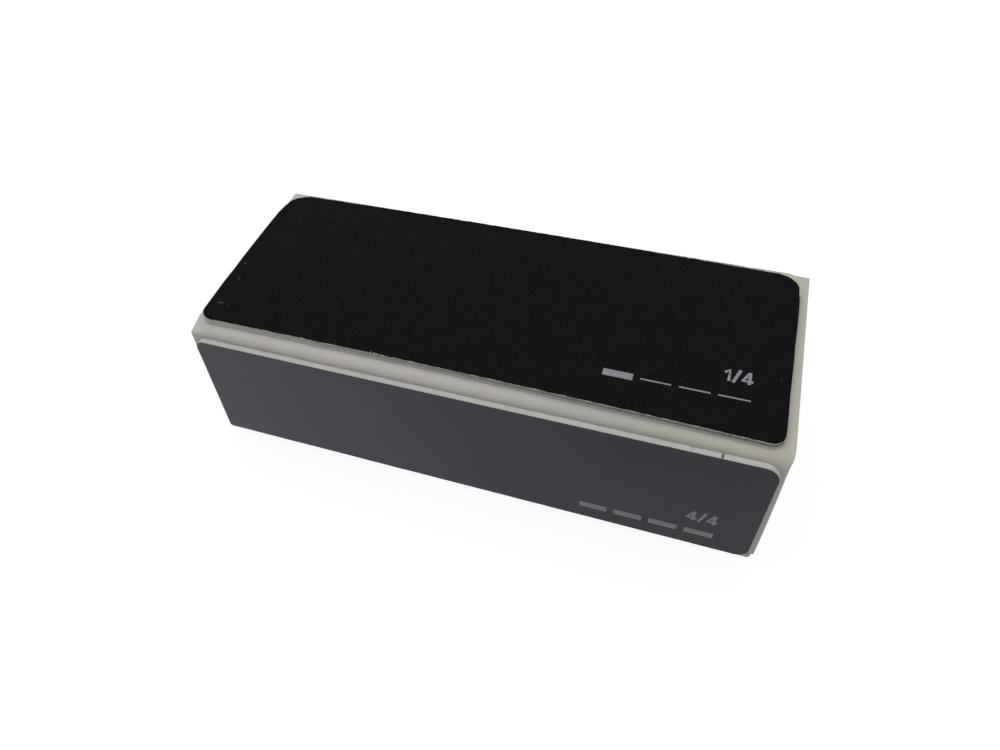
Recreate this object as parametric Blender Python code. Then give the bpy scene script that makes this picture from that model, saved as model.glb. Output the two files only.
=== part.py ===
"""Four-way nail buffer.

A sawn foam block carries one laminated strip on each of its four long sides. The strips are worked
in turn: file, level, smooth and shine. Each strip comes apart into five layers, from the block out:
double-sided tape, a thin foam cushion, a film of glue, the backing of the abrasive sheet and its
working coat. Nothing moves.

Metres, +Z up. X runs along the block. The file strip is on top, the level strip on the back, the
smooth strip underneath and the shine strip on the front, which faces -Y. The origin is at the middle
of the footprint, on the surface that the buffer lies on.
"""

import math
from collections import namedtuple

import bmesh
import bpy

# The foam block, measured along its front, and how far its sawn edges are rounded off
BLOCK_LENGTH = 0.09584
BLOCK_WIDTH = 0.0392
BLOCK_HEIGHT = 0.0255
UPPER_FRONT_EDGE_RADIUS = 0.0013
LOWER_FRONT_EDGE_RADIUS = 0.0003
BACK_EDGE_RADIUS = 0.0006
END_EDGE_RADIUS = 0.0002

# Its ends are sawn a little out of square: at the back, each falls short by this much
LEFT_END_SLANT = 0.00050
RIGHT_END_SLANT = 0.00024

# The layers that every strip is built from, and the coats that differ from strip to strip
TAPE_THICKNESS = 0.00008
CUSHION_THICKNESS = 0.00072
GLUE_THICKNESS = 0.00004
PAPER_THICKNESS = 0.00012
FILM_THICKNESS = 0.00005
FILE_COAT_THICKNESS = 0.00015
LEVEL_COAT_THICKNESS = 0.00010
SMOOTH_COAT_THICKNESS = 0.00008
SHINE_COAT_THICKNESS = 0.00003

# Layers that are glued face to face lie this far apart. Most of the layers are thinner than 0.3 mm,
# so a clearance as wide as that would hold the strip open instead of closing it.
BOND_GAP = 0.00003

# Bare foam that the file strip leaves at the ends, and in front and at the back of its four corners
FILE_LEFT_MARGIN = 0.00088
FILE_RIGHT_MARGIN = 0.00165
FILE_FRONT_MARGIN = 0.00160
FILE_BACK_MARGIN = 0.00220

# Bare foam that the shine strip leaves
SHINE_LEFT_MARGIN = 0.00104
SHINE_RIGHT_MARGIN = 0.00112
SHINE_LOWER_MARGIN = 0.00085
SHINE_UPPER_MARGIN = 0.00173

# Bare foam that the level strip leaves at the ends, and above and below it on the back
LEVEL_END_MARGIN = 0.00110
LEVEL_TOP_MARGIN = 0.00115
LEVEL_BOTTOM_MARGIN = 0.00182

# Bare foam that the smooth strip leaves. It is laid close to the front and to the right end.
SMOOTH_LEFT_MARGIN = 0.00200
SMOOTH_RIGHT_MARGIN = 0.00022
SMOOTH_FRONT_MARGIN = 0.00023
SMOOTH_BACK_MARGIN = 0.00277

# Corners of the punched strips, each seen with its strip facing up and the block's left end at the left
FILE_BACK_RIGHT_CORNER = 0.0038
FILE_BACK_LEFT_CORNER = 0.0043
FILE_FRONT_LEFT_CORNER = 0.0023
FILE_FRONT_RIGHT_CORNER = 0.0020
SHINE_UPPER_RIGHT_CORNER = 0.0024
SHINE_UPPER_LEFT_CORNER = 0.0016
SHINE_LOWER_LEFT_CORNER = 0.0006
SHINE_LOWER_RIGHT_CORNER = 0.0021
SMOOTH_FRONT_RIGHT_CORNER = 0.0007
PLAIN_CORNER = 0.0022

# The strips are laid by hand, a little out of line, and are this much wider at their right end than at
# their left. The file strip's left end stands out at the middle, and its length arches back by this
# much between the ends.
FILE_ASKEW_DEGREES = -0.15
FILE_WIDENING = 0.00058
FILE_LEFT_BOW = 0.0003
FILE_ARCH = 0.0005
SHINE_ASKEW_DEGREES = -0.05
SHINE_WIDENING = 0.00079
LEVEL_ASKEW_DEGREES = -0.11
SMOOTH_ASKEW_DEGREES = 0.16

# How finely the round stretches are drawn
CORNER_STEPS = 8
BENT_SIDE_STEPS = 12
EDGE_STEPS = 3
SMOOTH_UNDER_DEGREES = 35

FOAM_WHITE = (0.376, 0.371, 0.333)
FILE_BLACK = (0.0091, 0.0080, 0.0094)
LEVEL_GREY = (0.165, 0.160, 0.168)
SMOOTH_GREY = (0.440, 0.436, 0.430)
SHINE_GREY = (0.058, 0.055, 0.066)
PAPER_WHITE = (0.520, 0.510, 0.470)
FILM_GREY = (0.100, 0.098, 0.110)
GLUE_AMBER = (0.560, 0.500, 0.360)
TAPE_WHITE = (0.600, 0.590, 0.550)

# A side of the block: the turn that brings it up, its size across the block, how far it lies from the
# block's middle, its margins, its corners anticlockwise from the upper right, how its sides bend, how
# far it lies out of line, and its layers from the foam out. A bend is the strip's widening towards
# the right, the bow of its left end and the arch of its length.
Side = namedtuple("Side", "name turn across reach left right lower upper corners bend askew layers")
Bend = namedtuple("Bend", "widening left_bow arch")
Layer = namedtuple("Layer", "name thickness colour roughness")
STRAIGHT = Bend(0.0, 0.0, 0.0)


def clear_scene():
    for old in list(bpy.data.objects):
        bpy.data.objects.remove(old, do_unlink=True)


def material_of(name, colour, roughness):
    """One Principled material in a layer's own colour."""
    material = bpy.data.materials.new(name)
    material.use_nodes = True
    shader = material.node_tree.nodes["Principled BSDF"]
    shader.inputs["Base Color"].default_value = (*colour, 1.0)
    shader.inputs["Roughness"].default_value = roughness
    shader.inputs["Metallic"].default_value = 0.0
    return material


def object_from(name, bm, colour, roughness):
    """Closes a bmesh into a named object with its own material, round stretches shaded smooth."""
    bmesh.ops.recalc_face_normals(bm, faces=bm.faces)
    mesh = bpy.data.meshes.new(name)
    bm.to_mesh(mesh)
    bm.free()
    mesh.shade_smooth()
    mesh.set_sharp_from_angle(angle=math.radians(SMOOTH_UNDER_DEGREES))
    mesh.materials.append(material_of(name + "_material", colour, roughness))
    made = bpy.data.objects.new(name, mesh)
    bpy.context.scene.collection.objects.link(made)
    return made


def empty_at(name, parent, turn):
    """An empty at its parent's middle, turned about X so that its +Z points out of one side."""
    made = bpy.data.objects.new(name, None)
    bpy.context.scene.collection.objects.link(made)
    made.parent = parent
    made.rotation_euler = (turn, 0.0, 0.0)
    return made


def outline(length, width, corners, bend):
    """A rectangle about the origin, anticlockwise from its upper right corner, its four corners round."""
    arcs = []
    for quarter, radius in enumerate(corners):
        x = (length / 2 - radius) * (1 if quarter in (0, 3) else -1)
        y = (width / 2 - radius) * (1 if quarter in (0, 1) else -1)
        turns = [math.pi / 2 * (quarter + step / CORNER_STEPS) for step in range(CORNER_STEPS + 1)]
        arcs.append([(x + radius * math.cos(turn), y + radius * math.sin(turn)) for turn in turns])
    points = []
    for arc, next_arc, curve in zip(arcs, arcs[1:] + arcs[:1], (bend.arch, bend.left_bow, bend.arch, 0.0)):
        points += arc
        if curve:
            points += points_between(arc[-1], next_arc[0])
    return [bent(x, y, length, width, bend) for x, y in points]


def points_between(start, end):
    """The points that let a straight side bend."""
    shares = [step / BENT_SIDE_STEPS for step in range(1, BENT_SIDE_STEPS)]
    return [tuple(a + (b - a) * share for a, b in zip(start, end)) for share in shares]


def bent(x, y, length, width, bend):
    """A point moved by the widening, by the bow of the left end and by the arch of the length."""
    widened = y * (1 + bend.widening / width * x / length)
    along = (2 * x / length) ** 2
    across = (2 * y / width) ** 2
    return (x + bend.left_bow * across if x < 0 else x), widened + bend.arch * (1 - along)


def loft(rings):
    """A closed skin over rings of equally many points, with a face over the first and the last."""
    bm = bmesh.new()
    made = [[bm.verts.new(point) for point in ring] for ring in rings]
    for lower, upper in zip(made, made[1:]):
        for i in range(len(lower)):
            j = (i + 1) % len(lower)
            bm.faces.new((lower[i], lower[j], upper[j], upper[i]))
    bm.faces.new(made[0][::-1])
    bm.faces.new(made[-1])
    return bm


def make_block():
    """The foam block about its own middle: its upper front edge well rounded, its slanted ends eased."""
    edge_radii = (BACK_EDGE_RADIUS, UPPER_FRONT_EDGE_RADIUS, LOWER_FRONT_EDGE_RADIUS, BACK_EDGE_RADIUS)

    def ring(x, inset):
        corners = [radius - inset for radius in edge_radii]
        section = outline(BLOCK_WIDTH - 2 * inset, BLOCK_HEIGHT - 2 * inset, corners, STRAIGHT)
        slant = LEFT_END_SLANT if x < 0 else -RIGHT_END_SLANT
        return [(x + slant * (y / BLOCK_WIDTH + 0.5), y, z) for y, z in section]

    eased = []
    for step in range(EDGE_STEPS + 1):
        angle = math.pi / 2 * step / EDGE_STEPS
        eased.append((END_EDGE_RADIUS * (1 - math.sin(angle)), END_EDGE_RADIUS * (1 - math.cos(angle))))
    left_end = [ring(along - BLOCK_LENGTH / 2, inset) for inset, along in eased]
    right_end = [ring(BLOCK_LENGTH / 2 - along, inset) for inset, along in reversed(eased)]
    return object_from("foam_block", loft(left_end + right_end), FOAM_WHITE, 0.85)


def make_layer(side, layer, level, holder):
    """One layer of a strip: the punched outline, raised by the layer's thickness from its level."""
    length = BLOCK_LENGTH - side.left - side.right
    width = side.across - side.lower - side.upper
    shape = outline(length, width, side.corners, side.bend)
    rings = [[(x, y, z) for x, y in shape] for z in (0.0, layer.thickness)]
    made = object_from(f"{side.name}_{layer.name}", loft(rings), layer.colour, layer.roughness)
    made.parent = holder
    made.location = ((side.left - side.right) / 2, (side.lower - side.upper) / 2, level)
    made.rotation_euler = (0.0, 0.0, side.askew)
    return made


def make_strip(side, block):
    """The five layers of one strip, each a bond gap above the one it is glued to."""
    holder = empty_at(f"{side.name}_side", block, side.turn)
    level = side.reach
    for layer in side.layers:
        level += BOND_GAP
        make_layer(side, layer, level, holder)
        level += layer.thickness


def layers_of(backing, backing_thickness, backing_colour, coat_thickness, coat_colour, coat_roughness):
    """A strip's layers from the block outwards."""
    return (
        Layer("tape", TAPE_THICKNESS, TAPE_WHITE, 0.40),
        Layer("cushion", CUSHION_THICKNESS, FOAM_WHITE, 0.85),
        Layer("glue_film", GLUE_THICKNESS, GLUE_AMBER, 0.30),
        Layer(backing, backing_thickness, backing_colour, 0.60),
        Layer("coat", coat_thickness, coat_colour, coat_roughness),
    )


def strip_height(side):
    return sum(BOND_GAP + layer.thickness for layer in side.layers)


FILE_SIDE = Side(
    name="file",
    turn=0.0,
    across=BLOCK_WIDTH,
    reach=BLOCK_HEIGHT / 2,
    left=FILE_LEFT_MARGIN,
    right=FILE_RIGHT_MARGIN,
    lower=FILE_FRONT_MARGIN,
    upper=FILE_BACK_MARGIN,
    corners=(
        FILE_BACK_RIGHT_CORNER,
        FILE_BACK_LEFT_CORNER,
        FILE_FRONT_LEFT_CORNER,
        FILE_FRONT_RIGHT_CORNER,
    ),
    bend=Bend(FILE_WIDENING, FILE_LEFT_BOW, FILE_ARCH),
    askew=math.radians(FILE_ASKEW_DEGREES),
    layers=layers_of("paper", PAPER_THICKNESS, PAPER_WHITE, FILE_COAT_THICKNESS, FILE_BLACK, 0.90),
)
SHINE_SIDE = Side(
    name="shine",
    turn=math.pi / 2,
    across=BLOCK_HEIGHT,
    reach=BLOCK_WIDTH / 2,
    left=SHINE_LEFT_MARGIN,
    right=SHINE_RIGHT_MARGIN,
    lower=SHINE_LOWER_MARGIN,
    upper=SHINE_UPPER_MARGIN,
    corners=(
        SHINE_UPPER_RIGHT_CORNER,
        SHINE_UPPER_LEFT_CORNER,
        SHINE_LOWER_LEFT_CORNER,
        SHINE_LOWER_RIGHT_CORNER,
    ),
    bend=Bend(SHINE_WIDENING, 0.0, 0.0),
    askew=math.radians(SHINE_ASKEW_DEGREES),
    layers=layers_of("film", FILM_THICKNESS, FILM_GREY, SHINE_COAT_THICKNESS, SHINE_GREY, 0.45),
)
LEVEL_SIDE = Side(
    name="level",
    turn=3 * math.pi / 2,
    across=BLOCK_HEIGHT,
    reach=BLOCK_WIDTH / 2,
    left=LEVEL_END_MARGIN,
    right=LEVEL_END_MARGIN,
    lower=LEVEL_TOP_MARGIN,
    upper=LEVEL_BOTTOM_MARGIN,
    corners=(PLAIN_CORNER,) * 4,
    bend=STRAIGHT,
    askew=math.radians(LEVEL_ASKEW_DEGREES),
    layers=layers_of("paper", PAPER_THICKNESS, PAPER_WHITE, LEVEL_COAT_THICKNESS, LEVEL_GREY, 0.80),
)
SMOOTH_SIDE = Side(
    name="smooth",
    turn=math.pi,
    across=BLOCK_WIDTH,
    reach=BLOCK_HEIGHT / 2,
    left=SMOOTH_LEFT_MARGIN,
    right=SMOOTH_RIGHT_MARGIN,
    lower=SMOOTH_BACK_MARGIN,
    upper=SMOOTH_FRONT_MARGIN,
    corners=(SMOOTH_FRONT_RIGHT_CORNER, PLAIN_CORNER, PLAIN_CORNER, PLAIN_CORNER),
    bend=STRAIGHT,
    askew=math.radians(SMOOTH_ASKEW_DEGREES),
    layers=layers_of("paper", PAPER_THICKNESS, PAPER_WHITE, SMOOTH_COAT_THICKNESS, SMOOTH_GREY, 0.70),
)

clear_scene()
foam_block = make_block()
foam_block.location = (
    0.0,
    (strip_height(SHINE_SIDE) - strip_height(LEVEL_SIDE)) / 2,
    strip_height(SMOOTH_SIDE) + BLOCK_HEIGHT / 2,
)
for each_side in (FILE_SIDE, LEVEL_SIDE, SMOOTH_SIDE, SHINE_SIDE):
    make_strip(each_side, foam_block)
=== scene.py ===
import math

import bpy
import numpy as np
from mathutils import Matrix, Vector, noise


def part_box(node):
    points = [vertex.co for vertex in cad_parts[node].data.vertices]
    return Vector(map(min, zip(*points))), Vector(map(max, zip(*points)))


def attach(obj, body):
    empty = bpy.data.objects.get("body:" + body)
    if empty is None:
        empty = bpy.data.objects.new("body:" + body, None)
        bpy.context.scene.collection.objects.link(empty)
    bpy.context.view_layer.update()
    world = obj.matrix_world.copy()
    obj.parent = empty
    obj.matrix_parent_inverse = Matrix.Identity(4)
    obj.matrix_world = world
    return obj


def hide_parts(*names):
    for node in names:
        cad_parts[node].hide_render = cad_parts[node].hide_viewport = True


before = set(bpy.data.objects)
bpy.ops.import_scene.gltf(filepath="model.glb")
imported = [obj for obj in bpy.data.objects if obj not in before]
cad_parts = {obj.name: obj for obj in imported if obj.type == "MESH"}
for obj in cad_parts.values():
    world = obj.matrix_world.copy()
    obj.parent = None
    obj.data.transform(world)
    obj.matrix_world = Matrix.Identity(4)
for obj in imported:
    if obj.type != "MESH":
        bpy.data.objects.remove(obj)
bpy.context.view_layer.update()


# The camera looks down on the buffer from close by, over its front edge and right of its middle.
# Its place, turn and lens are the ones that put the buffer's edges where the photograph has them.
CAMERA_PLACE = (0.02960, -0.09219, 0.11654)
CAMERA_LEFT_DEGREES = 23.0365
CAMERA_DOWN_DEGREES = 49.3071
CAMERA_ROLL_DEGREES = -5.2359
SENSOR_WIDTH_MM = 36.0
LENS_MM = 28.433
LENS_SHIFT = (0.0459, 0.0191)
NEAREST_SEEN = 0.005
camera = bpy.data.objects.new("camera", bpy.data.cameras.new("camera"))
bpy.context.scene.collection.objects.link(camera)
bpy.context.scene.camera = camera
camera.data.sensor_width = SENSOR_WIDTH_MM
camera.data.lens = LENS_MM
camera.data.shift_x, camera.data.shift_y = LENS_SHIFT
camera.data.clip_start = NEAREST_SEEN
camera.matrix_world = (
    Matrix.Translation(CAMERA_PLACE)
    @ Matrix.Rotation(math.radians(CAMERA_LEFT_DEGREES), 4, "Z")
    @ Matrix.Rotation(math.radians(90 - CAMERA_DOWN_DEGREES), 4, "X")
    @ Matrix.Rotation(math.radians(CAMERA_ROLL_DEGREES), 4, "Z")
)
bpy.context.scene.view_settings.view_transform = "Standard"


# The table is a plain white board. One wide soft lamp hangs over it, a little to the left, and the
# white room around gives the rest of the light.
class Wire:
    """A socket among a material's nodes that reads like a number: sums on it add Math nodes."""

    def __init__(self, tree, socket=None):
        self.tree = tree
        self.socket = socket

    def node(self, kind, settings=(), sockets=(), out=0):
        """Adds any other node: its settings first, then the values or wires of its sockets."""
        made = self.tree.nodes.new("ShaderNode" + kind)
        for name, value in dict(settings).items():
            setattr(made, name, value)
        for key, value in dict(sockets).items():
            if isinstance(value, Wire):
                self.tree.links.new(value.socket, made.inputs[key])
            else:
                made.inputs[key].default_value = value
        return Wire(self.tree, made.outputs[out] if made.outputs else None)

    def other(self, out):
        """Another output of the same node."""
        return Wire(self.tree, self.socket.node.outputs[out])

    def into(self, shader, name):
        self.tree.links.new(self.socket, shader.inputs[name])

    def maths(self, operation, *values):
        return self.node("Math", {"operation": operation}, enumerate(values))

    def __add__(self, other):
        return self.maths("ADD", self, other)

    def __sub__(self, other):
        return self.maths("SUBTRACT", self, other)

    def __rsub__(self, other):
        return self.maths("SUBTRACT", other, self)

    def __mul__(self, other):
        return self.maths("MULTIPLY", self, other)

    __radd__ = __add__
    __rmul__ = __mul__

    def higher(self, other):
        return self.maths("MAXIMUM", self, other)

    def between(self, low, high):
        """0 up to low, 1 from high, and a smooth rise from one to the other."""
        settings = {"interpolation_type": "SMOOTHSTEP"}
        return self.node("MapRange", settings, {"Value": self, "From Min": low, "From Max": high})

    def shade(self, dark, light):
        """A colour that goes from dark, where this wire is 0, to light, where it is 1."""
        ends = [end if isinstance(end, Wire) else (*end, 1.0) for end in (dark, light)]
        return self.node("Mix", {"data_type": "RGBA"}, {0: self, 6: ends[0], 7: ends[1]}, out=2)


TABLE_SIZE = 4.0
TABLE_WHITE = (0.80, 0.80, 0.80, 1.0)
TABLE_GLOW = 1.02
SHADOW_DEPTH = 0.12
ROOM_GREY = (0.50, 0.50, 0.50, 1.0)
PLAIN_WHITE = (1.0, 1.0, 1.0, 1.0)
LAMP_SIZE = 1.2
LAMP_PLACE = Vector((-0.15, 0.05, 0.90))
LAMP_WATTS = 7.4


def plainly_seen(at):
    """1 for rays from the camera or from a glossy or clear surface, which see plain white."""
    ray = at.node("LightPath", out="Is Camera Ray")
    return ray.higher(ray.other("Is Glossy Ray")).higher(ray.other("Is Transmission Ray"))


room = bpy.data.worlds.new("white_room")
room.use_nodes = True
room.node_tree.nodes.clear()
at = Wire(room.node_tree)
lit = at.node("Background", (), {"Color": ROOM_GREY})
seen = at.node("Background", (), {"Color": PLAIN_WHITE})
at.node("OutputWorld", (), {0: at.node("MixShader", (), {0: plainly_seen(at), 1: lit, 2: seen})})
bpy.context.scene.world = room

board = bpy.data.materials.new("white_board")
board.use_nodes = True
board.node_tree.nodes.clear()
at = Wire(board.node_tree)
lit = at.node("BsdfDiffuse", (), {"Color": TABLE_WHITE})
shadow = at.node("BsdfDiffuse", (), {"Color": (SHADOW_DEPTH, SHADOW_DEPTH, SHADOW_DEPTH, 1.0)})
glow = at.node("Emission", (), {"Strength": TABLE_GLOW - SHADOW_DEPTH})
seen = at.node("AddShader", (), {0: shadow, 1: glow})
at.node("OutputMaterial", (), {0: at.node("MixShader", (), {0: plainly_seen(at), 1: lit, 2: seen})})

table_mesh = bpy.data.meshes.new("table")
corners = [(x * TABLE_SIZE / 2, y * TABLE_SIZE / 2, 0.0) for x, y in ((-1, -1), (1, -1), (1, 1), (-1, 1))]
table_mesh.from_pydata(corners, [], [(0, 1, 2, 3)])
table_mesh.materials.append(board)
table = bpy.data.objects.new("table", table_mesh)
bpy.context.scene.collection.objects.link(table)

lamp = bpy.data.objects.new("lamp", bpy.data.lights.new("lamp", "AREA"))
lamp.data.size = LAMP_SIZE
lamp.data.energy = LAMP_WATTS
lamp.location = LAMP_PLACE
lamp.rotation_euler = LAMP_PLACE.to_track_quat("Z", "Y").to_euler()
bpy.context.scene.collection.objects.link(lamp)


# The core is a block sawn from a plank of closed-cell foam. Its upper front edge was rolled round by
# a cutter. At the right end it has worn rounder still, and the left corner is worn down to a facet.
# The ends are plain saw cuts, a little out of square and barely eased, where the cells lie open.
FRONT_EDGE_RADIUS = 0.0013
LEFT_EDGE_RADIUS = 0.0003
RIGHT_EDGE_RADIUS = 0.0022
WORN_REACH = 0.0030
FACET_DEPTH = 0.0010
FACET_BACK = 0.0036
FACET_ALONG = 0.0050
LOWER_EDGE_RADIUS = 0.0003
BACK_EDGE_RADIUS = 0.0006
END_EDGE_RADIUS = 0.0001
LEFT_END_SLANT = 0.00050
RIGHT_END_SLANT = 0.00024
BLOCK_STEP = 0.0010
ARC_STEPS = 8
EASE_STEPS = 3
SMOOTH_UNDER_DEGREES = 40
FLAT_WAVER = 0.00002
EDGE_WAVER = 0.00007
LONG_WAVER = 0.006
SHORT_WAVER = 0.0017
WORN_OFF = 0.3
RUBBED_DEPTH = 0.00040
RUBBED_FROM = 0.006
RUBBED_TO = 0.025
RUBBED_RISE = 1.6
RUBBED_NARROW = 80
SLANT_FADE = 3
CELLS_PER_METRE = 5200.0
PITS_PER_METRE = 1300.0
SPECKLE_PER_METRE = 2100.0
CLOUDS_PER_METRE = 260.0
CREEP_PER_METRE = 95.0
SAW_MARKS_PER_METRE = 1500.0
CRUMBS_PER_METRE = 2600.0
FOAM_PALE = (0.438, 0.422, 0.405)
FOAM_DEEP = (0.380, 0.365, 0.350)
GLUE_STAIN = (0.395, 0.388, 0.310)
YELLOWED = (0.6, (0.000, 0.042), (0.019, 0.025))
# A darker tone that the foam takes about one place right of the middle of the buffer.
DARKER_TONE = (0.350, 0.345, 0.325)
DARKER_PLACE = 0.023
DARKER_REACH = 0.022
SAWN = (0.0476, 0.0479)
GRIT_CRUMB = (0.012, 0.011, 0.012)
FOAM_RELIEF = 0.00003
FOAM_ROUGHNESS = 0.85
FOAM_GLOSS = 0.2


def section_round(half_width, half_height, front_radius):
    """A round-cornered section: each point's foot on the inner figure, its way out and how far that is."""
    lower, back = LOWER_EDGE_RADIUS, BACK_EDGE_RADIUS
    corners = ((1, 1, back), (-1, 1, front_radius), (-1, -1, lower), (1, -1, back))
    feet = [Vector((y * (half_width - radius), z * (half_height - radius))) for y, z, radius in corners]
    points = []
    for quarter, (y, z, radius) in enumerate(corners):
        for step in range(ARC_STEPS + 1):
            angle = math.pi / 2 * (quarter + step / ARC_STEPS)
            points.append((feet[quarter], Vector((math.cos(angle), math.sin(angle))), radius))
        way_out = points[-1][1]
        following, next_radius = feet[(quarter + 1) % 4], corners[(quarter + 1) % 4][2]
        half = half_height if quarter % 2 else half_width
        pieces = round(2 * half / BLOCK_STEP)
        for share in (piece / pieces for piece in range(1, pieces)):
            between = radius + (next_radius - radius) * share
            points.append((feet[quarter].lerp(following, share), way_out, between))
    return points


def waver(place, size, seed):
    """A smooth, aimless number from about -1 to 1 that changes over about that size."""
    return noise.noise(Vector(place) / size + Vector((seed, 0.0, 0.0)))


def shown(name, mesh, material, node):
    """Puts a piece in the scene in place of its CAD node, shaded smooth over its round stretches."""
    mesh.materials.append(material)
    mesh.shade_smooth()
    mesh.set_sharp_from_angle(angle=math.radians(SMOOTH_UNDER_DEGREES))
    piece = bpy.data.objects.new(name, mesh)
    bpy.context.scene.collection.objects.link(piece)
    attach(piece, "root")
    if node:
        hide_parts(node)
    return piece


def finish(name):
    """A new material, its surface shader, and a wire that adds nodes to it."""
    material = bpy.data.materials.new(name)
    material.use_nodes = True
    return material, material.node_tree.nodes["Principled BSDF"], Wire(material.node_tree)


def foam_finish(name, pale, deep, stain_and_shade, turned_and_shaded, darker_share, crumb_share=0.0, stain_share=0.15):
    """Closed-cell foam: fine cells, soft clouds of tone, and a stain where glue crept out.

    It has turned to another colour by a share that grows between two places along the buffer and
    between two heights: to the stain's colour on the block, and to black dust and painted shade on the
    file cushion. It is made darker by a share that peaks at one place along the buffer and fades within
    a reach of it. The ends show the saw's marks, and crumbs of black grit may cling to the foam that has
    turned.
    """
    material, surface, at = finish(name)
    place = at.node("TexCoord", out="Object")
    along = at.node("SeparateXYZ", (), {0: place})
    turned_and_shaded_share, places, heights = turned_and_shaded
    cells = at.node("TexVoronoi", (), {"Vector": place, "Scale": CELLS_PER_METRE})
    pits_and_pit_shade = 1 - at.node("TexVoronoi", (), {"Vector": place, "Scale": PITS_PER_METRE}).between(0.06, 0.16)
    clouds = at.node("TexNoise", (), {"Vector": place, "Scale": CLOUDS_PER_METRE, "Detail": 4.0})
    speckle = at.node("TexNoise", (), {"Vector": place, "Scale": SPECKLE_PER_METRE, "Detail": 2.0})
    creep = at.node("TexNoise", (), {"Vector": place, "Scale": CREEP_PER_METRE, "Detail": 2.0})
    drawn = at.node("VectorMath", {"operation": "MULTIPLY"}, {0: place, 1: (0.0, 1.0, 0.05)})
    saw_marks = at.node("TexNoise", (), {"Vector": drawn, "Scale": SAW_MARKS_PER_METRE, "Detail": 2.0})
    sawn = at.maths("ABSOLUTE", along).between(*SAWN)
    fine = speckle.between(0.30, 0.70) * 0.35 + (1 - cells) * 0.35
    fine = fine + sawn * (saw_marks - 0.5) * 0.5
    tone = (clouds.between(0.30, 0.70) * 0.3 + fine).shade(deep, pale)
    turned_and_shaded_mask = along.between(*places) * along.other("Z").between(*heights) * turned_and_shaded_share
    # For the file cushion the turned colour is black dust and painted shade under the coat.
    stained_and_shaded = (creep.between(0.56, 0.70) * stain_share).higher(turned_and_shaded_mask).shade(tone, stain_and_shade)
    # Darker about one place along the buffer, fading within a reach of it.
    from_darker_place = at.maths("ABSOLUTE", along - DARKER_PLACE)
    darker_band = (1 - from_darker_place.between(0.0, DARKER_REACH)) * darker_share
    with_darker_band = darker_band.shade(stained_and_shaded, DARKER_TONE)
    if crumb_share:
        clinging = at.node("TexNoise", (), {"Vector": place, "Scale": CRUMBS_PER_METRE, "Detail": 3.0})
        with_darker_band = (clinging.between(0.50, 0.60) * turned_and_shaded_mask * crumb_share).shade(with_darker_band, GRIT_CRUMB)
    # The pits are painted darker: painted shade in them.
    (pits_and_pit_shade * 0.35).shade(with_darker_band, deep).into(surface, "Base Color")
    height = cells * 0.5 - pits_and_pit_shade * 0.8 + speckle * 0.6 + sawn * saw_marks
    at.node("Bump", (), {"Strength": 0.6, "Distance": FOAM_RELIEF, "Height": height}).into(surface, "Normal")
    surface.inputs["Roughness"].default_value = FOAM_ROUGHNESS
    surface.inputs["Specular IOR Level"].default_value = FOAM_GLOSS
    return material


block_low, block_high = (Vector(corner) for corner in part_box("foam_block"))
block_middle = (block_low + block_high) / 2
block_half = (block_high - block_low) / 2
eased = []
for step in range(EASE_STEPS + 1):
    angle = math.pi / 2 * step / EASE_STEPS
    eased.append((END_EDGE_RADIUS * (1 - math.sin(angle)), END_EDGE_RADIUS * (1 - math.cos(angle))))
rings = [(along - block_half.x, inset) for inset, along in eased]
first = rings[-1][0]
pieces = round(-2 * first / BLOCK_STEP)
rings += [(first * math.cos(math.pi * piece / pieces), 0.0) for piece in range(1, pieces)]
rings += [(block_half.x - along, inset) for inset, along in reversed(eased)]


def out_of_square(place):
    """How far the saw strayed inwards at a place: to the right at the left end, and the other way."""
    to_right = (place.x - block_low.x) / (2 * block_half.x)
    to_back = (place.y - block_low.y) / (2 * block_half.y)
    upwards = min(1.0, max(0.0, (place.z - RUBBED_FROM) / (RUBBED_TO - RUBBED_FROM)))
    rubbed = RUBBED_DEPTH * upwards**RUBBED_RISE * (1 - to_back) ** RUBBED_NARROW
    at_left = LEFT_END_SLANT * to_back * (1 - to_right)
    at_right = (RIGHT_END_SLANT * to_back + rubbed) * to_right**SLANT_FADE
    return at_left - at_right


def facet(place):
    """How far the upper left corner is worn down at a place on the upper half of the block."""
    from_front = (place.y - block_low.y) / FACET_BACK
    from_end = (place.x - block_low.x) / FACET_ALONG
    upper = max(0.0, (place.z - block_middle.z) / block_half.z)
    return FACET_DEPTH * max(0.0, 1 - from_front - from_end) * upper


points = []
for x, inset in rings:
    end_radius = LEFT_EDGE_RADIUS if x < 0 else RIGHT_EDGE_RADIUS
    worn = math.exp(-(((block_half.x - abs(x)) / WORN_REACH) ** 2))
    front_radius = FRONT_EDGE_RADIUS + (end_radius - FRONT_EDGE_RADIUS) * worn
    section = section_round(block_half.y, block_half.z, front_radius)
    for foot, way_out, radius in section:
        spot = foot + way_out * (radius - inset)
        place = Vector((x, spot.x, spot.y)) + block_middle
        on_edge = 4 * (way_out.x * way_out.y) ** 2
        depth = FLAT_WAVER + (EDGE_WAVER - FLAT_WAVER) * on_edge
        shift = waver(place, LONG_WAVER, seed=3) + 0.5 * waver(place, SHORT_WAVER, seed=9) - WORN_OFF
        shift *= depth
        moved = Vector((out_of_square(place), way_out.x * shift, way_out.y * shift - facet(place)))
        points.append(place + moved)
count = len(section)
faces = []
for ring in range(len(rings) - 1):
    for i in range(count):
        a, b = ring * count + i, ring * count + (i + 1) % count
        faces.append((a, b, b + count, a + count))
faces.append(tuple(range(count))[::-1])
faces.append(tuple(range(len(points) - count, len(points))))
block_mesh = bpy.data.meshes.new("sawn_block")
block_mesh.from_pydata(points, [], faces)
block_foam = foam_finish("block_foam", FOAM_PALE, FOAM_DEEP, GLUE_STAIN, YELLOWED, darker_share=0.5)
shown("sawn_block", block_mesh, block_foam, "foam_block")


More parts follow.
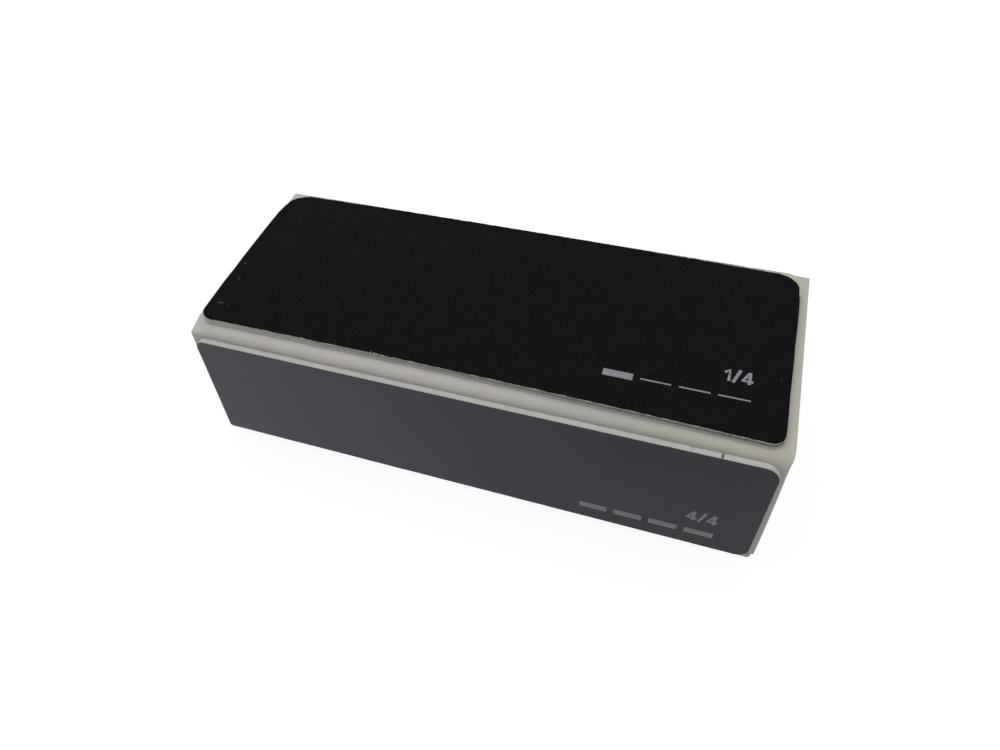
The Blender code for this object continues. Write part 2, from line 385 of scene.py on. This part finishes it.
# The tapes hold the strips on the block. Each is a thin white double-sided tape, rubbed down by
# hand, and only its cut edge shows at the foot of its strip.
TAPE_PALE = (0.56, 0.55, 0.51)
TAPE_DEEP = (0.44, 0.43, 0.39)
BLOTCHES_PER_METRE = 1500.0
LAYER_RELIEF = 0.00001


def layer_finish(name, deep, pale, roughness, streaks):
    """A thin layer of a strip: blotches that are drawn out along the strip by so many times."""
    material, surface, at = finish(name)
    place = at.node("TexCoord", out="Object")
    drawn = at.node("VectorMath", {"operation": "MULTIPLY"}, {0: place, 1: (1 / streaks, 1.0, 1.0)})
    blotches = at.node("TexNoise", (), {"Vector": drawn, "Scale": BLOTCHES_PER_METRE, "Detail": 3.0})
    blotches.between(0.32, 0.68).shade(deep, pale).into(surface, "Base Color")
    relief = at.node("Bump", (), {"Strength": 0.4, "Distance": LAYER_RELIEF, "Height": blotches})
    relief.into(surface, "Normal")
    surface.inputs["Roughness"].default_value = roughness
    return material


def dressed(node, material):
    """Gives a CAD node its finish."""
    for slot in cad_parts[node].material_slots:
        slot.material = material


tape_finish = layer_finish("mounting_tape", TAPE_DEEP, TAPE_PALE, roughness=0.40, streaks=4.0)
for strip in ("file", "level", "smooth", "shine"):
    dressed(f"{strip}_tape", tape_finish)


# On each tape lies a thin foam cushion, which lets the strip follow a nail. It is punched in one
# stroke with the rest of its strip, so its cut side shows all round as a pale, slightly full band,
# and its foot laps over the tape. Round the file strip that side is grey with black dust and painted
# shade, darker towards its top under the coat and towards its right end.
WAYS = {
    "file": ((0, 1, 0), (0, 0, 1)),
    "level": ((0, 0, -1), (0, 1, 0)),
    "smooth": ((0, -1, 0), (0, 0, -1)),
    "shine": ((0, 0, 1), (0, -1, 0)),
}
BOND_GAP = 0.00003
CLEARANCE = 0.000004
CUSHION_STEP = 0.00030
CUSHION_OFFSETS = (0.0, 0.00004, 0.00010, 0.00030, 0.0010, 0.0024)
CUSHION_RAGGED = ((0.00004, 0.0024), (0.00002, 0.0007))
CUSHION_ROLLED = 0.00006
CUSHION_BULGE = 0.00004
CUSHION_SPREAD = 0.00015
CUSHION_LAP = 0.00009
CUSHION_ROWS = 8
CUSHION_NICKS = {"shine": ((1, 0.03873, 0.00010, 0.0008), (1, 0.0346, 0.00020, 0.00015))}
CUSHION_PALE = (0.446, 0.438, 0.425)
CUSHION_DEEP = (0.380, 0.373, 0.358)
# The file cushion's colours are black dust and painted shade: darker copies of the cushion foam, darkest in
# a band at the top under the coat.
DUSTED_SHADED_PALE = (0.430, 0.420, 0.400)
DUSTED_SHADED_DEEP = (0.350, 0.342, 0.325)
DUST_AND_SHADE = (0.108, 0.105, 0.099)
DUSTED_AND_SHADED = (0.90, (-0.090, 0.045), (0.02685, 0.02740))
UNTURNED = (0.0, (0.0, 1.0), (0.0, 1.0))
ACROSS_STEP = 0.004
NICK_POINTS = (-2, -1, -0.5, 0, 0.5, 1, 2)
RAGGED_REACH = 0.0010
END_REACH = 0.0045
LAW_REACH = 0.9
LAW_POINTS = 37
SAME_LEVEL = 1e-6


def outline_of(layer):
    """A CAD layer's punched outline, anticlockwise from outside, and its lower and upper level."""
    across, out = WAYS[layer.split("_")[0]]
    points = np.array([vertex.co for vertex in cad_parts[layer].data.vertices])
    levels = points @ out
    flat = np.stack([points[:, 0], points @ across], 1)[levels > levels.max() - SAME_LEVEL]
    flat = np.unique(flat.round(7), axis=0)
    middle = (flat.min(axis=0) + flat.max(axis=0)) / 2
    order = np.argsort(np.arctan2(flat[:, 1] - middle[1], flat[:, 0] - middle[0]))
    return flat[order], levels.min(), levels.max()


def laws_of(outline):
    """A strip's midline, slanted and slightly arched, and its half width, as laws of the place along."""
    along = np.linspace(-LAW_REACH, LAW_REACH, LAW_POINTS) * outline[:, 0].max()
    sides = []
    for side in (outline[:, 1] < outline[:, 1].mean(), outline[:, 1] > outline[:, 1].mean()):
        points = outline[side]
        sides.append(np.interp(along, *points[points[:, 0].argsort()].T))
    return np.polyfit(along, np.mean(sides, axis=0), 2), np.polyfit(along, (sides[1] - sides[0]) / 2, 1)


def straightened(flat, midline, half_width):
    """Flat points of a strip as if it were a straight one of half width 1."""
    along, across = flat.T
    return np.stack([along, (across - np.polyval(midline, along)) / np.polyval(half_width, along)], 1)


def as_laid(flat, midline, half_width):
    """The points of a straight strip of half width 1, put back where the strip lies."""
    along, across = flat.T
    return np.stack([along, across * np.polyval(half_width, along) + np.polyval(midline, along)], 1)


def in_strip(strip, flat, levels):
    """Points on a strip, given along and across it and by their levels, as places on the buffer."""
    across, out = np.array(WAYS[strip], float)
    return flat[:, :1] * (1.0, 0.0, 0.0) + flat[:, 1:] * across + levels[:, None] * out


def spaced(low, high, offsets, pieces, extras=()):
    """Numbers from low to high: by the offsets at both ends, in even pieces between, and the extras."""
    offsets = np.array(offsets)
    middle = np.linspace(low + offsets[-1], high - offsets[-1], pieces + 1)[1:-1]
    return np.sort(np.concatenate([low + offsets, middle, high - offsets, extras]))


def nearest_rim(points, outline):
    """For each point its distance from the outline, the nearest spot there, and the way inwards."""
    span = np.roll(outline, -1, axis=0) - outline
    length = np.hypot(*span.T)
    share = ((points[:, None] - outline) * span).sum(axis=2) / length**2
    spots = outline + span * share.clip(0, 1)[..., None]
    distance = np.hypot(*(points[:, None] - spots).transpose(2, 0, 1))
    nearest = distance.argmin(axis=1)
    every = np.arange(len(points))
    inward = np.stack([-span[:, 1], span[:, 0]], 1) / length[:, None]
    return distance[every, nearest], spots[every, nearest], inward[nearest]


def rim_shift(x, y, upper, ragged, chips, nicks, seed):
    """How far the rim lies inside the outline at a spot: its waver, its chips and its nicks.

    A nick is given by its side, 1 for the upper and -1 for the lower, its place along the strip, half
    its width and its depth.
    """
    shift = sum(depth * waver((x, y, 0.0), size, seed) for depth, size in ragged)
    if chips:
        depth, size, share = chips
        shift += depth * max(0.0, waver((x, y, 0.0), size, seed + 7) - share)
    for side, place, half_width, depth in nicks:
        if upper * side > 0:
            shift += depth * math.exp(-(((x - place) / half_width) ** 2))
    return shift


def punched_slab(layer, step, offsets, down, up, rolled, ragged, chips, nicks, side, side_rows, seed):
    """A mesh of one layer of a strip, on its CAD node's outline, reaching down and up past its levels.

    The top edge is rolled off, and the rim is ragged and may be chipped or nicked. The side stands out
    by a bulge at half height and a spread at the foot, which laps so far over the layer below.
    """
    strip = layer.split("_")[0]
    outline, low, high = outline_of(layer)
    low, high = low - down, high + up
    length, width = np.ptp(outline, axis=0)
    laws = laws_of(outline)
    straight = straightened(outline, *laws)
    left = straight[straight[:, 0] < straight[:, 0].min() + END_REACH]
    right = straight[straight[:, 0] > straight[:, 0].max() - END_REACH]
    left, right = left[left[:, 1].argsort()], right[right[:, 1].argsort()]
    extras = [nick[1] + nick[2] * share for nick in nicks for share in NICK_POINTS]
    grid = []
    for v in spaced(-1, 1, np.array(offsets) * 2 / width, round(width / ACROSS_STEP)):
        ends = [np.interp(v, chain[:, 1], chain[:, 0]) for chain in (left, right)]
        grid.append([(u, v) for u in spaced(*ends, offsets, round(length / step), extras)])
    row_count, column_count = len(grid), len(grid[0])
    flat = as_laid(np.array(grid).reshape(-1, 2), *laws)
    distance, spots, inward = nearest_rim(flat, outline)
    moved = flat.copy()
    for i in np.flatnonzero(distance < RAGGED_REACH):
        fading = (1 - distance[i] / RAGGED_REACH) ** 2
        upper = spots[i, 1] - outline[:, 1].mean()
        moved[i] += inward[i] * rim_shift(*spots[i], upper, ragged, chips, nicks, seed) * fading
    off_edge = 1 - (distance / rolled).clip(0, 1)
    levels = high - rolled * (1 - np.sqrt(1 - off_edge**2))
    number = np.arange(len(flat)).reshape(row_count, column_count)
    rim = np.concatenate([number[0, :-1], number[:-1, -1], number[-1, :0:-1], number[:0:-1, 0]])
    bulge, spread, lap = side
    all_flat, all_levels = [moved], [levels]
    for row in range(1, side_rows + 1):
        share = row / side_rows
        outwards = bulge * math.sin(math.pi * share) + spread * share
        all_flat.append(moved[rim] - inward[rim] * outwards)
        all_levels.append(levels[rim] * (1 - share) + low * share)
    if lap:
        beside_tape = flat[rim] - inward[rim] * CLEARANCE
        all_flat += [all_flat[-1], beside_tape, beside_tape]
        all_levels += [np.full(len(rim), level) for level in (low - lap, low - lap, low)]
    places = in_strip(strip, np.concatenate(all_flat), np.concatenate(all_levels))
    faces = [
        (number[j, i], number[j, i + 1], number[j + 1, i + 1], number[j + 1, i])
        for j in range(row_count - 1)
        for i in range(column_count - 1)
    ]
    upper = rim
    for row in range(len(all_flat) - 1):
        lower = len(flat) + row * len(rim) + np.arange(len(rim))
        onward = np.roll(np.arange(len(rim)), -1)
        faces += zip(lower, lower[onward], upper[onward], upper)
        upper = lower
    faces.append(tuple(upper[::-1]))
    mesh = bpy.data.meshes.new(layer)
    mesh.from_pydata(places.tolist(), [], [[int(i) for i in face] for face in faces])
    return mesh


cushion_foam = foam_finish("cushion_foam", CUSHION_PALE, CUSHION_DEEP, GLUE_STAIN, UNTURNED, darker_share=0)
# The file cushion's finish: grit dust and painted shade, darker towards its top and its right end.
dusted_shaded_foam = foam_finish(
    "dusted_shaded_foam", DUSTED_SHADED_PALE, DUSTED_SHADED_DEEP, DUST_AND_SHADE, DUSTED_AND_SHADED, darker_share=0, crumb_share=0.45
)
for seed, strip in enumerate(WAYS):
    cushion_mesh = punched_slab(
        f"{strip}_cushion",
        step=CUSHION_STEP,
        offsets=CUSHION_OFFSETS,
        down=BOND_GAP - CLEARANCE,
        up=BOND_GAP - CLEARANCE,
        rolled=CUSHION_ROLLED,
        ragged=CUSHION_RAGGED,
        chips=None,
        nicks=CUSHION_NICKS.get(strip, ()),
        side=(CUSHION_BULGE, CUSHION_SPREAD, CUSHION_LAP),
        side_rows=CUSHION_ROWS,
        seed=20 + seed,
    )
    foam = dusted_shaded_foam if strip == "file" else cushion_foam
    cushion = shown(f"{strip}_foam_pad", cushion_mesh, foam, f"{strip}_cushion")


# A film of yellowish glue joins each cushion to the abrasive sheet above it. It is rolled on, and
# shows only as a hair line round the strip.
GLUE_PALE = (0.50, 0.46, 0.35)
GLUE_DEEP = (0.36, 0.33, 0.25)
glue_finish = layer_finish("glue", GLUE_DEEP, GLUE_PALE, roughness=0.30, streaks=2.0)
for strip in WAYS:
    dressed(f"{strip}_glue_film", glue_finish)


# The abrasive sheets have a backing: heavy paper under the three grits, its punched edge dusted with
# grit, and a thin dark plastic film under the shine coat.
PAPER_PALE = (0.56, 0.55, 0.51)
PAPER_DEEP = (0.17, 0.165, 0.158)
BACKING_FILM_PALE = (0.115, 0.113, 0.125)
BACKING_FILM_DEEP = (0.085, 0.083, 0.094)
paper_finish = layer_finish("backing_paper", PAPER_DEEP, PAPER_PALE, roughness=0.60, streaks=1.5)
for strip in ("file", "level", "smooth"):
    dressed(f"{strip}_paper", paper_finish)
film_finish = layer_finish(
    "backing_film", BACKING_FILM_DEEP, BACKING_FILM_PALE, roughness=0.35, streaks=12.0
)
dressed("shine_film", film_finish)


# The file coat is the coarsest: black silicon carbide grains set in black resin. Its punched rim is
# ragged, with grains broken out, and a few bare specks show at the left end where it was knocked.
COAT_OFFSETS = (0, 0.00002, 0.00005, 0.0001, 0.0002, 0.00035, 0.0006, 0.0009, 0.0013, 0.0018, 0.0024)
COAT_STEP = 0.00025
COAT_SINK = 0.00001
COAT_ROWS = 2
GRIT_CLOUDS_PER_METRE = 420.0
FILE_GRAIN = 0.00016
FILE_DEEP = (0.0033, 0.0026, 0.0031)
FILE_PALE = (0.0083, 0.0069, 0.0077)
FILE_GLINT = (0.016, 0.0145, 0.016)
FILE_BARE = (0.045, 0.044, 0.045)
FILE_ROLLED = 0.00006
FILE_RAGGED = ((0.00005, 0.0030), (0.00007, 0.0009), (0.00006, 0.00050))
FILE_CHIPS = (0.00045, 0.0016, 0.42)
FILE_NICKS = (
    (-1, -0.01566, 0.00010, 0.0004),
    (-1, -0.01512, 0.00009, 0.0004),
    (-1, -0.01465, 0.00008, 0.0003),
)
FILE_KNOCKS = (
    (-0.04574, -0.00363, 0.00028, 0.00020),
    (-0.04479, -0.00750, 0.00016, 0.00026),
    (-0.04482, -0.01385, 0.00060, 0.00018),
    (-0.04306, -0.01409, 0.00016, 0.00015),
    (0.04477, -0.00605, 0.00012, 0.00012),
    (0.02692, -0.00932, 0.00010, 0.00010),
)


def grit_finish(name, grain, deep, pale, glint, glint_share, relief, roughness, gloss):
    """Grains set in resin: each with its own tone, clouds where they lie thicker, a few painted glints."""
    material, surface, at = finish(name)
    place = at.node("TexCoord", out="Object")
    grains = at.node("TexVoronoi", (), {"Vector": place, "Scale": 1 / grain})
    lot = at.node("SeparateColor", (), {"Color": grains.other("Color")})
    clouds = at.node("TexNoise", (), {"Vector": place, "Scale": GRIT_CLOUDS_PER_METRE, "Detail": 5.0})
    tone = (lot * 0.75 + clouds.between(0.32, 0.68) * 0.25).shade(deep, pale)
    # A small share of the grains is painted lighter: painted glints.
    painted_glints = lot.other("Green").between(1 - glint_share, 1 - 0.8 * glint_share)
    coat_tone = painted_glints.shade(tone, glint)
    coat_tone.into(surface, "Base Color")
    height = (1 - grains) * lot.other("Blue").between(-0.6, 1.0)
    at.node("Bump", (), {"Strength": 0.8, "Distance": relief, "Height": height}).into(surface, "Normal")
    surface.inputs["Roughness"].default_value = roughness
    surface.inputs["Specular IOR Level"].default_value = gloss
    return material, surface, at, coat_tone, place


def knocked_off(at, place, knocks):
    """1 on the spots where the grains were knocked off, each an oval about its place on the strip."""
    spots = 0.0
    for x, y, half_length, half_width in knocks:
        away = at.node("VectorMath", {"operation": "SUBTRACT"}, {0: place, 1: (x, y, 0.0)})
        shape = (1 / half_length, 1 / half_width, 0.0)
        away = at.node("VectorMath", {"operation": "MULTIPLY"}, {0: away, 1: shape})
        far_away = at.node("VectorMath", {"operation": "LENGTH"}, {0: away}, out="Value")
        spots = (1 - far_away.between(0.6, 1.3)).higher(spots)
    return spots


def coated(strip, mesh, material):
    """Shows a strip's working face in place of its coat."""
    return shown(f"{strip}_working_face", mesh, material, f"{strip}_coat")


def coat_slab(strip, rolled, ragged, chips, nicks, seed):
    """A working coat as a slab that closes on its backing."""
    return punched_slab(
        f"{strip}_coat",
        step=COAT_STEP,
        offsets=COAT_OFFSETS,
        down=BOND_GAP - CLEARANCE,
        up=-COAT_SINK,
        rolled=rolled,
        ragged=ragged,
        chips=chips,
        nicks=nicks,
        side=(0.0, 0.0, 0.0),
        side_rows=COAT_ROWS,
        seed=seed,
    )


file_grit, surface, at, coat_tone, place = grit_finish(
    "file_grit",
    FILE_GRAIN,
    FILE_DEEP,
    FILE_PALE,
    FILE_GLINT,
    glint_share=0.02,
    relief=0.00003,
    roughness=0.75,
    gloss=0.02,
)
knocked_off(at, place, FILE_KNOCKS).shade(coat_tone, FILE_BARE).into(surface, "Base Color")
file_slab = coat_slab("file", FILE_ROLLED, FILE_RAGGED, FILE_CHIPS, FILE_NICKS, seed=40)
coated("file", file_slab, file_grit)


# The level coat on the back is the second grade: finer grains in mid-grey resin. It is spread on
# its paper as a wide web, and punched out with the rest of the strip.
LEVEL_GRAIN = 0.00011
LEVEL_DEEP = (0.125, 0.121, 0.128)
LEVEL_PALE = (0.195, 0.189, 0.197)
LEVEL_GLINT = (0.30, 0.30, 0.31)
LEVEL_ROLLED = 0.00004
FINE_RAGGED = ((0.00004, 0.0030), (0.00002, 0.0008))
level_grit = grit_finish(
    "level_grit",
    LEVEL_GRAIN,
    LEVEL_DEEP,
    LEVEL_PALE,
    LEVEL_GLINT,
    glint_share=0.03,
    relief=0.00002,
    roughness=0.75,
    gloss=0.12,
)[0]
level_slab = coat_slab("level", LEVEL_ROLLED, FINE_RAGGED, chips=None, nicks=(), seed=50)
coated("level", level_slab, level_grit)


# The smooth coat underneath is the third grade: fine white grains in pale grey resin, spread on
# paper in the same way. The buffer lies on this face.
SMOOTH_GRAIN = 0.00008
SMOOTH_DEEP = (0.385, 0.381, 0.375)
SMOOTH_PALE = (0.480, 0.476, 0.470)
SMOOTH_GLINT = (0.60, 0.60, 0.60)
SMOOTH_ROLLED = 0.00003
smooth_grit = grit_finish(
    "smooth_grit",
    SMOOTH_GRAIN,
    SMOOTH_DEEP,
    SMOOTH_PALE,
    SMOOTH_GLINT,
    glint_share=0.03,
    relief=0.00001,
    roughness=0.7,
    gloss=0.12,
)[0]
smooth_slab = coat_slab("smooth", SMOOTH_ROLLED, FINE_RAGGED, chips=None, nicks=(), seed=60)
coated("smooth", smooth_slab, smooth_grit)


# The shine coat in front has no grit that can be felt. It is a slick dark film with a low, even
# gloss, drawn lengthwise through the coating rolls. Its colour is painted paler towards its left end
# and darker towards its right, a painted sheen, and it is scuffed a little by handling.
SHINE_LEFT_SHEEN = (0.0462, 0.0443, 0.0575)
SHINE_RIGHT_SHADE = (0.0178, 0.0166, 0.0246)
SHINE_LEFT = -0.050
SHINE_RIGHT = 0.044
SHINE_STREAKS_PER_METRE = 2400.0
SHINE_CLOUDS_PER_METRE = 120.0
SHINE_ROLLED = 0.00002
SHINE_RELIEF = 0.000004
SHINE_ROUGHNESS = 0.42
SHINE_GLOSS = 0.22
shine_finish, surface, at = finish("shine_finish")
place = at.node("TexCoord", out="Object")
drawn = at.node("VectorMath", {"operation": "MULTIPLY"}, {0: place, 1: (0.06, 1.0, 1.0)})
streaks = at.node("TexNoise", (), {"Vector": drawn, "Scale": SHINE_STREAKS_PER_METRE, "Detail": 2.0})
clouds = at.node("TexNoise", (), {"Vector": place, "Scale": SHINE_CLOUDS_PER_METRE, "Detail": 5.0})
along = at.node("SeparateXYZ", (), {0: place})
uneven = (streaks * 0.4 + clouds * 0.6 - 0.5) * 0.35
# Paler towards the left end and darker towards the right: a painted sheen, with the film's streaks and
# clouds.
painted_sheen_and_streaks = along.between(SHINE_LEFT, SHINE_RIGHT) + uneven
painted_sheen_and_streaks.shade(SHINE_LEFT_SHEEN, SHINE_RIGHT_SHADE).into(surface, "Base Color")
(SHINE_ROUGHNESS + (clouds + streaks) * 0.06).into(surface, "Roughness")
relief = at.node("Bump", (), {"Strength": 0.3, "Distance": SHINE_RELIEF, "Height": streaks})
relief.into(surface, "Normal")
surface.inputs["Specular IOR Level"].default_value = SHINE_GLOSS
shine_slab = coat_slab("shine", SHINE_ROLLED, FINE_RAGGED, chips=None, nicks=(), seed=70)
coated("shine", shine_slab, shine_finish)


# Every working face is marked in grey ink near its lower right corner: the plain number of its turn
# over the number of turns, and below it four strokes, of which as many are bold. The ink sits on the
# grains and is worn through on the highest of them.
TURN = {"file": 1, "level": 2, "smooth": 3, "shine": 4}
NUMBER_LEVEL = {"file": 0.0110, "level": 0.0079, "smooth": 0.0110, "shine": 0.0079}
MARK_RIGHT = 0.0410
NUMBER_HEIGHT = 0.0024
NUMBER_STROKE = 0.20
NUMBER_GAP = 0.14
STROKE_DROP = 0.0043
STROKE_LENGTH = 0.0045
STROKE_GAP = 0.0011
STROKE_BOLD = 0.0013
STROKE_FINE = 0.00028
SHARPEST = 1.6
INK_RISE = 0.000004
INK_LIFT = 0.0000005
INK_WEAR_PER_METRE = 1400.0
INK_RELIEF = 0.00001
INK_ROUGHNESS = 0.7
INK_GLOSS = 0.2
INKS = {
    "file": ((0.155, 0.151, 0.171), (0.240, 0.236, 0.266), FILE_GRAIN),
    "level": ((0.52, 0.51, 0.53), (0.62, 0.61, 0.63), LEVEL_GRAIN),
    "smooth": ((0.12, 0.118, 0.128), (0.18, 0.176, 0.188), SMOOTH_GRAIN),
    "shine": ((0.160, 0.158, 0.167), (0.210, 0.207, 0.219), SMOOTH_GRAIN),
}


def arc_points(x, y, radius, start, end, steps=12):
    """Points along an arc, its angles in degrees."""
    angles = np.radians(np.linspace(start, end, steps + 1))
    return [(x + radius * math.cos(angle), y + radius * math.sin(angle)) for angle in angles]


# The figures as the pen draws them, one unit high, with the width that each takes.
FIGURES = {
    "1": (0.42, [[(0.02, 0.68), (0.30, 0.92), (0.30, 0.0)]]),
    "2": (0.62, [arc_points(0.31, 0.66, 0.24, 170, -30) + [(0.10, 0.10), (0.62, 0.10)]]),
    "3": (0.62, [[(0.05, 0.90), (0.52, 0.90), (0.29, 0.60)] + arc_points(0.30, 0.34, 0.25, 85, -160)]),
    "4": (0.66, [[(0.66, 0.25), (0.05, 0.25), (0.40, 0.92)], [(0.44, 1.0), (0.44, 0.0)]]),
    "/": (0.36, [[(0.0, -0.06), (0.36, 1.06)]]),
}


def ribbon(path, width):
    """A stroke of even width along a path, its bends drawn to a blunt point."""
    path = np.array(path, float)
    ways = np.diff(path, axis=0)
    ways /= np.hypot(*ways.T)[:, None]
    lefts = np.stack([-ways[:, 1], ways[:, 0]], 1)
    joints = lefts[:-1] + lefts[1:]
    stretch = 1 / np.maximum(1 + (lefts[:-1] * lefts[1:]).sum(axis=1), 2 / SHARPEST**2)
    sides = np.concatenate([lefts[:1], joints * stretch[:, None], lefts[-1:]]) * width / 2
    count = len(path)
    faces = [(i + count, i + 1 + count, i + 1, i) for i in range(count - 1)]
    return np.concatenate([path + sides, path - sides]), faces


def ink_finish(name, deep, pale, grain):
    """Ink laid over grains, thinner on some of them."""
    material, surface, at = finish(name)
    place = at.node("TexCoord", out="Object")
    grains = at.node("TexVoronoi", (), {"Vector": place, "Scale": 1 / grain})
    lot = at.node("SeparateColor", (), {"Color": grains.other("Color")})
    wear = at.node("TexNoise", (), {"Vector": place, "Scale": INK_WEAR_PER_METRE, "Detail": 3.0})
    (lot * 0.5 + wear.between(0.35, 0.65) * 0.5).shade(deep, pale).into(surface, "Base Color")
    relief = at.node("Bump", (), {"Strength": 0.5, "Distance": INK_RELIEF, "Height": 1 - grains})
    relief.into(surface, "Normal")
    surface.inputs["Roughness"].default_value = INK_ROUGHNESS
    surface.inputs["Specular IOR Level"].default_value = INK_GLOSS
    return material


for strip, turn in TURN.items():
    outline, low, high = outline_of(f"{strip}_coat")
    number_level = outline[:, 1].min() + NUMBER_LEVEL[strip]
    strokes = []
    start = MARK_RIGHT
    for figure in reversed(f"{turn}/{len(TURN)}"):
        figure_width, paths = FIGURES[figure]
        start -= figure_width * NUMBER_HEIGHT
        corner = (start, number_level - NUMBER_HEIGHT / 2)
        for path in paths:
            strokes.append(ribbon(np.array(path) * NUMBER_HEIGHT + corner, NUMBER_STROKE * NUMBER_HEIGHT))
        start -= NUMBER_GAP * NUMBER_HEIGHT
    for stroke in range(len(TURN)):
        end = MARK_RIGHT - (len(TURN) - 1 - stroke) * (STROKE_LENGTH + STROKE_GAP)
        level = number_level - STROKE_DROP
        width = STROKE_BOLD if stroke < turn else STROKE_FINE
        strokes.append(ribbon([(end - STROKE_LENGTH, level), (end, level)], width))
    flat, levels, faces = [], [], []
    for lift, (stroke_points, stroke_faces) in enumerate(strokes):
        start = sum(len(part) for part in flat)
        flat.append(stroke_points)
        levels.append(np.full(len(stroke_points), high - COAT_SINK + INK_RISE + lift * INK_LIFT))
        faces += [[start + i for i in face] for face in stroke_faces]
    mark_mesh = bpy.data.meshes.new(f"{strip}_mark")
    mark_places = in_strip(strip, np.concatenate(flat), np.concatenate(levels))
    mark_mesh.from_pydata(mark_places.tolist(), [], faces)
    ink = ink_finish(f"{strip}_ink", *INKS[strip])
    shown(f"{strip}_mark", mark_mesh, ink, None)
